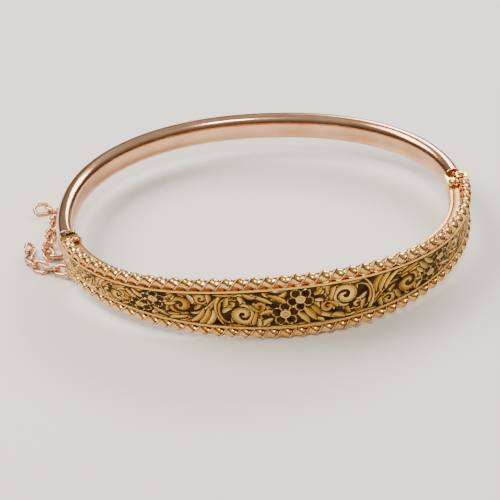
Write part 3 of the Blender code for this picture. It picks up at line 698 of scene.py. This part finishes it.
def build_plate():
    """A grid over the front face, pushed in by the drawing, and a flat back."""
    along = np.linspace(-BAND_HALF_LENGTH, BAND_HALF_LENGTH, PLATE_COLUMNS)[:, None]
    share = np.linspace(-1, 1, PLATE_ROWS)[None]
    half = plate_half_height(along)
    height = share * half
    u = np.broadcast_to(along / MM, height.shape)
    squeeze = (half / MM - BORDER) / (PLATE_SCALE - BORDER)
    v = height / MM / squeeze
    sheet = Drawing(u, v)
    draw_plate(sheet)

    to_edge = (half - np.abs(height)) / MM
    from_catch = u + BAND_HALF_LENGTH / MM
    plain_catch = 1 - smooth_step(PLAIN_END - 0.3, PLAIN_END, from_catch)
    plain_hinge = 1 - smooth_step(PLAIN_HINGE_END - 0.3, PLAIN_HINGE_END, BAND_HALF_LENGTH / MM - u)
    plain_border = 1 - smooth_step(BORDER - 0.04, BORDER + 0.04, to_edge)
    plain = np.maximum(np.maximum(plain_catch, plain_hinge), plain_border)
    on = sheet.on.reshape(height.shape)
    ground = (1 - on) * (1 - plain)
    shade = sheet.shade.reshape(height.shape) * on * (1 - plain)
    border_line = line_at(to_edge - BORDER, 0.06) + 0.4 * line_at(to_edge - 0.2, 0.05)
    cut = np.maximum(sheet.cut.reshape(height.shape) * (1 - plain), border_line * (1 - plain_catch * 0.6))
    sunk = GROUND_DEPTH * ground + CUT_DEPTH * cut * (1 - 0.5 * ground) + SHADE_DEPTH * shade
    rubbed = ROUND_OVER * (1 - smooth_step(0, 0.1, to_edge))
    front = places(along, sunk + rubbed, height)

    # the plate's flat back closes the sheet: its section runs up the front and down the back
    back = places(along, np.full((1, 2), SHEET), np.concatenate([half, -half], 1))
    rings = np.concatenate([front, back], 1)
    rows, columns = rings.shape[:2]
    quads = grid_quads(rows, columns, wrap=True)
    plate = mesh_piece("engraved_plate", rings.reshape(-1, 3), quads, ENGRAVED, sharp=60)
    close_ends(plate, columns)
    # plain metal takes the lightest tone: a painted highlight along the polished margins and ends
    tone = np.where(plain > 0.5, 0.95, sheet.tone.reshape(height.shape))
    # painted shade: the outline cuts, the shading cuts and the shaded side of each leaf are painted dark
    # in the metal's colour, on top of being sunk
    painted_cut_shade = np.clip(cut + 0.8 * shade, 0, 1)
    for name, values in (("ground", ground), ("cut", painted_cut_shade), ("tone", tone)):
        full = np.concatenate([values, np.zeros((rows, 2))], 1).ravel().astype(np.float32)
        plate.data.attributes.new(name, "FLOAT", "POINT").data.foreach_set("value", full)
    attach(plate, "front")
    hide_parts("engraved_face_plate")
    print(f"engraved plate: {len(quads) * 2} triangles, {ground.mean():.0%} of it sunk ground")


def close_ends(piece, columns):
    """Caps the open first and last sections of a swept piece and turns its faces outwards."""
    made = bmesh.new()
    made.from_mesh(piece.data)
    made.verts.ensure_lookup_table()
    made.faces.new(made.verts[:columns])
    made.faces.new(made.verts[-columns:])
    bmesh.ops.recalc_face_normals(made, faces=made.faces)
    made.to_mesh(piece.data)
    made.free()


build_plate()


# %% [markdown]
# ## The plain walls and the tube
# The lining, the two narrow side walls and the tube at the back are plain metal, bent
# to the oval. Each is one cross-section carried along it. Their corners are rounded a
# little, as polishing always leaves them.

# %% Swept pieces
TUBE_THICKNESS, TUBE_HEIGHT, TUBE_POWER = 2.8 * MM, 4.4 * MM, 2.4
HINGE_ALONG = 43.25 * MM
TUBE_SPAN = (HINGE_ALONG + 1.55 * MM, OVAL_LENGTH - BAND_HALF_LENGTH - 2.28 * MM)
BAND_STATIONS, TUBE_STATIONS = 241, 361


def rounded_box(inset, height, radius, steps=4):
    """Section of a sheet with rounded corners, as (inset, height) points."""
    points = []
    corners = ((1, 1, 0), (0, 1, 90), (0, 0, 180), (1, 0, 270))
    for deeper, higher, start in corners:
        # the middle of this corner's arc
        x = inset[deeper] - radius * (2 * deeper - 1)
        y = height[higher] - radius * (2 * higher - 1)
        for k in range(steps + 1):
            angle = math.radians(start + 90 * k / steps)
            points.append((x + radius * math.cos(angle), y + radius * math.sin(angle)))
    return points


def swept_piece(name, start, end, stations, section, material):
    """A closed piece whose section, asked for at each station, is carried along the oval."""
    rings = []
    for along in np.linspace(start, end, stations):
        outline = np.array(section(along))
        rings.append(places(along, outline[:, 0], outline[:, 1]))
    rings = np.array(rings)
    columns = rings.shape[1]
    piece = mesh_piece(name, rings.reshape(-1, 3), grid_quads(stations, columns, wrap=True), material)
    close_ends(piece, columns)
    return piece


def build_band_walls():
    """The lining, as high as the plate, and a wall along each edge between the two."""
    band = (-BAND_HALF_LENGTH, BAND_HALF_LENGTH, BAND_STATIONS)

    def lining_section(along):
        half = plate_half_height(along)
        return rounded_box((BAND_THICKNESS - SHEET, BAND_THICKNESS), (-half, half), 0.1 * MM)

    lining = swept_piece("plain_lining", *band, lining_section, LINING)
    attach(lining, "front")
    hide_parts("inner_lining")
    for level, side in (("upper", 1), ("lower", -1)):
        def section(along, side=side):
            half = plate_half_height(along)
            low, high = sorted((side * half, side * (half - SHEET)))
            return rounded_box((SHEET + JOIN, BAND_THICKNESS - SHEET - JOIN), (low, high), 0.05 * MM, 2)

        wall = swept_piece(f"{level}_edge_wall", *band, section, LINING)
        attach(wall, "front")
        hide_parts(f"{level}_side_wall")
    print("lining and edge walls swept")


build_band_walls()


# %% [markdown]
# The tube's section is a flattened oval, squarer than an ellipse, as a round tube gets
# when it is drawn through a shaped plate. It is the same from the hinge to the catch.

# %% The tube
def build_tube():
    """The tube runs from the hinge round the back to the catch, its ends soldered shut."""

    def section(_, sides=48):
        angle = 2 * np.pi * (np.arange(sides) + 0.5) / sides
        c, s = np.cos(angle), np.sin(angle)
        across = np.sign(c) * np.abs(c) ** (2 / TUBE_POWER) * TUBE_THICKNESS / 2
        up = np.sign(s) * np.abs(s) ** (2 / TUBE_POWER) * TUBE_HEIGHT / 2
        return np.stack([across + TUBE_THICKNESS / 2, up], -1)

    tube = swept_piece("plain_back_tube", *TUBE_SPAN, TUBE_STATIONS, section, ROSE)
    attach(tube, "back")
    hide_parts("back_tube")
    print(f"tube {(TUBE_SPAN[1] - TUBE_SPAN[0]) / MM:.1f} mm long")


build_tube()


# %% [markdown]
# ## Wire: twisted edges, rings and links
# A goldsmith makes the edges by flattening a wire and twisting it: each half turn shows
# as one rounded lobe, and the milled edge shows as a bright slanting line between
# lobes; its brightness is partly a painted highlight in the wire's metal. The chain is
# plain round wire, cut and bent into ovals. Both are a section drawn along a path, so
# one Geometry Nodes tree makes them all. Its inputs are the section's size, how sharp
# its edges are and how broad their flat rim is, the number of half turns, and the milling.

# %% The wire tree
def wire_tree():
    """The Geometry Nodes tree that draws any wire along a path of points."""
    tree = bpy.data.node_groups.new("drawn_wire", "GeometryNodeTree")
    face = tree.interface
    face.new_socket("Geometry", in_out="INPUT", socket_type="NodeSocketGeometry")
    for label, value in (
        ("Half width", 0.88 * MM),
        ("Half thickness", 0.42 * MM),
        ("Edge sharpness", 1.0),
        ("Rim", 1.0),
        ("Half turns", 1.0),
        ("Steps", 100.0),
        ("Milling pitch", 0.24 * MM),
        ("Milling depth", 0.0),
    ):
        face.new_socket(label, in_out="INPUT", socket_type="NodeSocketFloat").default_value = value
    face.new_socket("Sides", in_out="INPUT", socket_type="NodeSocketInt").default_value = 20
    face.new_socket("Metal", in_out="INPUT", socket_type="NodeSocketMaterial")
    face.new_socket("Geometry", in_out="OUTPUT", socket_type="NodeSocketGeometry")

    given = add_node(tree, "NodeGroupInput").outputs

    def calculate(operation, *values):
        inputs = dict(enumerate(values))
        return add_node(tree, "ShaderNodeMath", inputs, operation=operation).outputs[0]

    def keep(geometry, name, value):
        """Keeps a value on every point, under a name."""
        inputs = {"Geometry": geometry, "Name": name, "Value": value}
        kind = "GeometryNodeStoreNamedAttribute"
        return add_node(tree, kind, inputs, data_type="FLOAT", domain="POINT").outputs[0]

    def kept(name):
        inputs = {"Name": name}
        kind = "GeometryNodeInputNamedAttribute"
        return add_node(tree, kind, inputs, data_type="FLOAT").outputs[0]

    # the path: its twist grows evenly from its middle
    where = add_node(tree, "GeometryNodeSplineParameter").outputs
    share = calculate("DIVIDE", where["Index"], given["Steps"])
    centred = calculate("SUBTRACT", share, 0.5)
    tilt = calculate("MULTIPLY", calculate("MULTIPLY", centred, math.pi), given["Half turns"])
    upright = add_node(tree, "GeometryNodeSetCurveNormal", {"Curve": given["Geometry"]})
    if "Mode" in upright.inputs:
        upright.inputs["Mode"].default_value = "Z Up"
    else:
        upright.mode = "Z_UP"
    twisted = add_node(tree, "GeometryNodeSetCurveTilt", {"Curve": upright.outputs[0], "Tilt": tilt})
    marked = keep(twisted.outputs[0], "travel", where["Length"])

    # the section: a circle pressed into a lens, whose two edges are marked
    size = {"Resolution": given["Sides"], "Radius": 1.0}
    circle = add_node(tree, "GeometryNodeCurvePrimitiveCircle", size)
    round_place = add_node(tree, "GeometryNodeInputPosition").outputs[0]
    split = add_node(tree, "ShaderNodeSeparateXYZ", {0: round_place}).outputs
    pinch = calculate("POWER", calculate("ABSOLUTE", split["Y"]), given["Edge sharpness"])
    thin = calculate("MULTIPLY", split["Y"], pinch)
    wide = calculate("MULTIPLY", split["X"], given["Rim"])
    flat_x = calculate("MAXIMUM", calculate("MINIMUM", wide, 1.0), -1.0)
    edge = calculate("POWER", calculate("ABSOLUTE", flat_x), 6.0)
    with_edge = keep(circle.outputs["Curve"], "edge", edge)
    pressed = add_node(
        tree,
        "ShaderNodeCombineXYZ",
        {
            "X": calculate("MULTIPLY", flat_x, given["Half width"]),
            "Y": calculate("MULTIPLY", thin, given["Half thickness"]),
        },
    )
    section = add_node(
        tree, "GeometryNodeSetPosition", {"Geometry": with_edge, "Position": pressed.outputs[0]}
    )
    skin = add_node(
        tree,
        "GeometryNodeCurveToMesh",
        {"Curve": marked, "Profile Curve": section.outputs[0], "Fill Caps": True},
    )

    # milling: small teeth along the two edges
    teeth = calculate("DIVIDE", kept("travel"), given["Milling pitch"])
    wave = calculate("COSINE", calculate("MULTIPLY", teeth, 2 * math.pi))
    bite = calculate("MULTIPLY", kept("edge"), given["Milling depth"])
    notch = calculate("MULTIPLY", calculate("SUBTRACT", wave, 1.0), bite)
    outwards = add_node(tree, "GeometryNodeInputNormal").outputs[0]
    push = add_node(tree, "ShaderNodeVectorMath", {0: outwards, "Scale": notch}, operation="SCALE")
    moved = {"Geometry": skin.outputs[0], "Offset": push.outputs[0]}
    milled = add_node(tree, "GeometryNodeSetPosition", moved)
    whole = add_node(tree, "GeometryNodeRealizeInstances", {"Geometry": milled.outputs[0]})
    dressed = add_node(
        tree, "GeometryNodeSetMaterial", {"Geometry": whole.outputs[0], "Material": given["Metal"]}
    )
    add_node(tree, "NodeGroupOutput", {"Geometry": dressed.outputs[0]})
    return tree


WIRE = wire_tree()
print("wire tree nodes:", len(WIRE.nodes))


# %% Drawing a wire along a path
def draw_wire(name, path, closed, metal, sharp=50, **sizes):
    """Runs the wire tree on a path of points and returns the result as a plain mesh."""
    spline_data = bpy.data.curves.new(name + "_path", "CURVE")
    spline_data.dimensions = "3D"
    spline = spline_data.splines.new("POLY")
    spline.points.add(len(path) - 1)
    for point, place in zip(spline.points, path):
        point.co = (*place, 1.0)
    spline.use_cyclic_u = closed
    guide = bpy.data.objects.new(name + "_path", spline_data)
    bpy.context.scene.collection.objects.link(guide)
    modifier = guide.modifiers.new("wire", "NODES")
    modifier.node_group = WIRE
    sockets = (item for item in WIRE.interface.items_tree if item.in_out == "INPUT")
    identifiers = {item.name: item.identifier for item in sockets}
    values = {label.replace("_", " ").capitalize(): value for label, value in sizes.items()}
    values["Metal"] = metal
    values["Steps"] = float(len(path) - 1)
    for label, value in values.items():
        modifier[identifiers[label]] = value
    graph = bpy.context.evaluated_depsgraph_get()
    mesh = bpy.data.meshes.new_from_object(guide.evaluated_get(graph), depsgraph=graph)
    bpy.data.objects.remove(guide, do_unlink=True)
    made = bmesh.new()
    made.from_mesh(mesh)
    bmesh.ops.remove_doubles(made, verts=made.verts, dist=1e-7)
    bmesh.ops.recalc_face_normals(made, faces=made.faces)
    made.to_mesh(mesh)
    made.free()
    mesh.name = name
    mesh.shade_smooth()
    mesh.set_sharp_from_angle(angle=math.radians(sharp))
    piece = bpy.data.objects.new(name, mesh)
    bpy.context.scene.collection.objects.link(piece)
    return piece


# %% The twisted edges
WIRE_RADIUS, WIRE_FLAT_RADIUS, WIRE_LOBE = 0.88 * MM, 0.42 * MM, 1.935 * MM
WIRE_INSET, WIRE_END_MARGIN = 0.5 * MM, 1.15 * MM
END_WIRE_RADIUS, END_WIRE_LOBE = 0.46 * MM, 0.8 * MM
TWIST_HAND = -1.0  # a left-hand twist
MILLED = {"edge_sharpness": 0.55, "rim": 1.06}  # a full lens with a narrow flat rim
STEPS_PER_LOBE = 32


def build_twisted_edges():
    lobes = round(2 * (BAND_HALF_LENGTH - WIRE_END_MARGIN) / WIRE_LOBE)
    reach = lobes * WIRE_LOBE / 2
    along = np.linspace(-reach, reach, lobes * STEPS_PER_LOBE + 1)
    for level, side in (("upper", 1), ("lower", -1)):
        height = side * (plate_half_height(along) + JOIN + WIRE_RADIUS)
        piece = draw_wire(
            f"{level}_twisted_edge",
            places(along, WIRE_INSET, height),
            False,
            TWISTED,
            half_width=WIRE_RADIUS,
            half_thickness=WIRE_FLAT_RADIUS * 1.3,
            sharp=30,
            half_turns=TWIST_HAND * lobes,
            milling_depth=0.05 * MM,
            sides=20,
            **MILLED,
        )
        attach(piece, "front")
        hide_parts(f"{level}_twisted_wire")
        print(f"{level} twisted edge: {lobes} lobes, {len(piece.data.polygons)} faces")


def build_end_wires():
    end_along = BAND_HALF_LENGTH - END_WIRE_RADIUS - JOIN
    steps = round((BAND_THICKNESS - 2 * JOIN) / END_WIRE_LOBE * 24)
    inset = np.linspace(JOIN, BAND_THICKNESS - JOIN, steps + 1)
    for end, along in (("clasp", -end_along), ("hinge", end_along)):
        for level, side in (("upper", 1), ("lower", -1)):
            height = side * (PLATE_HEIGHT_END / 2 + JOIN + END_WIRE_RADIUS)
            piece = draw_wire(
                f"{end}_{level}_cross_wire",
                places(np.full_like(inset, along), inset, height),
                False,
                TWISTED,
                half_width=END_WIRE_RADIUS,
                half_thickness=END_WIRE_RADIUS * 0.62,
                half_turns=TWIST_HAND * (BAND_THICKNESS - 2 * JOIN) / END_WIRE_LOBE,
                milling_depth=0.02 * MM,
                sides=16,
                **MILLED,
            )
            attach(piece, "front")
            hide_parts(f"{end}_{level}_end_wire")


build_twisted_edges()
build_end_wires()


# %% [markdown]
# ## The safety chain
# Every link is a piece of its own, because on a chain each link moves. Where a link
# lies and which way it faces is read from the working model: its longest direction is
# the link's length and its thinnest is the way it faces. A smooth link is then drawn
# there with the same wire tree, along a path of two straights and two half circles.

# %% Chain links and rings
LINK_WIRE, LINK_LENGTH, LINK_WIDTH = 0.56 * MM, 3.06 * MM, 2.16 * MM
RING_RADIUS, RING_WIRE = 0.72 * MM, 0.45 * MM
NO_STRAIGHT = 0.0001 * MM  # a ring's two halves meet, but their end points don't coincide


def lying_of(node):
    """Centre, length direction and width direction of a flat CAD loop."""
    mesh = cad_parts[node].data
    points = np.empty(len(mesh.vertices) * 3)
    mesh.vertices.foreach_get("co", points)
    points = np.unique(np.round(points.reshape(-1, 3), 7), axis=0)
    centre = points.mean(0)
    _, _, directions = np.linalg.svd(points - centre, full_matrices=False)
    return centre, directions[0], directions[1]


def link_path(radius, straight, steps=14):
    """Half circles of `radius` joined by straights, in the link's own plane."""
    turn = np.linspace(-math.pi / 2, math.pi / 2, steps + 1)
    right = np.stack([straight / 2 + radius * np.cos(turn), radius * np.sin(turn)], -1)
    return np.concatenate([right, -right])


def build_loop(node, name, body, radius, straight, wire):
    """A smooth link or ring in place of a node, lying as the node does."""
    centre, length, width = lying_of(node)
    flat = link_path(radius, straight)
    path = centre + flat[:, :1] * length + flat[:, 1:] * width
    piece = draw_wire(
        name,
        path,
        True,
        CHAIN,
        half_width=wire / 2,
        half_thickness=wire / 2,
        edge_sharpness=0.0,
        half_turns=0.0,
        sides=12,
    )
    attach(piece, body)
    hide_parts(node)


def build_chain():
    loops = sorted(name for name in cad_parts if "_link_" in name)
    for node in loops:
        radius = (LINK_WIDTH - LINK_WIRE) / 2
        build_loop(node, f"smooth_{node}", f"{node}_body", radius, LINK_LENGTH - LINK_WIDTH, LINK_WIRE)
    for body in ("front", "back"):
        build_loop(f"{body}_chain_ring", f"smooth_{body}_ring", body, RING_RADIUS, NO_STRAIGHT, RING_WIRE)
    print(f"{len(loops)} links drawn, and a ring at each end")


build_chain()


# %% [markdown]
# ## The small fittings
# The hinge knuckles, the end plates, the snap's two leaves and its thumb catch have the
# right shape already, but a file and a polishing buff never leave a perfectly sharp
# edge. Each is copied, its loose triangles are joined, and its edges are rounded by a
# few hundredths of a millimetre so that they catch the light.

# %% Softened fittings
FITTINGS = {
    "clasp_end_plate": ("front", "yellow_gold", YELLOW, 0.05),
    "hinge_end_plate": ("front", "yellow_gold", YELLOW, 0.05),
    "front_knuckle_upper": ("front", "yellow_gold", YELLOW, 0.06),
    "front_knuckle_lower": ("front", "yellow_gold", YELLOW, 0.06),
    "hinge_pin": ("front", "pin_gold", PIN, 0.04),
    "tube_hinge_cap": ("back", "yellow_gold", YELLOW, 0.05),
    "tube_clasp_cap": ("back", "rose_gold", ROSE, 0.05),
    "back_knuckle": ("back", "yellow_gold", YELLOW, 0.06),
    "snap_lower_leaf": ("back", "yellow_gold", YELLOW, 0.02),
    "snap_upper_leaf": ("snap", "yellow_gold", YELLOW, 0.02),
    "thumb_catch": ("snap", "yellow_gold", YELLOW, 0.06),
}


def soften(node, body, metal, edge_mm):
    """A copy of a node's solid with its sharp edges rounded."""
    made = bmesh.new()
    made.from_mesh(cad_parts[node].data)
    bmesh.ops.remove_doubles(made, verts=made.verts, dist=1e-7)
    bmesh.ops.dissolve_limit(
        made, angle_limit=math.radians(1), verts=made.verts, edges=made.edges, delimit={"NORMAL"}
    )
    bmesh.ops.recalc_face_normals(made, faces=made.faces)
    mesh = bpy.data.meshes.new("soft_" + node)
    made.to_mesh(mesh)
    made.free()
    mesh.materials.append(metal)
    mesh.shade_smooth()
    mesh.set_sharp_from_angle(angle=math.radians(32))
    piece = bpy.data.objects.new("soft_" + node, mesh)
    bpy.context.scene.collection.objects.link(piece)
    bevel = piece.modifiers.new("file_edge", "BEVEL")
    bevel.width = edge_mm * MM
    bevel.segments = 2
    bevel.limit_method = "ANGLE"
    bevel.angle_limit = math.radians(40)
    bevel.use_clamp_overlap = True
    bevel.harden_normals = True
    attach(piece, body)
    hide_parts(node)


for node, (body, slot, metal, edge_mm) in FITTINGS.items():
    soften(node, body, metal, edge_mm)
print(len(FITTINGS), "fittings softened")
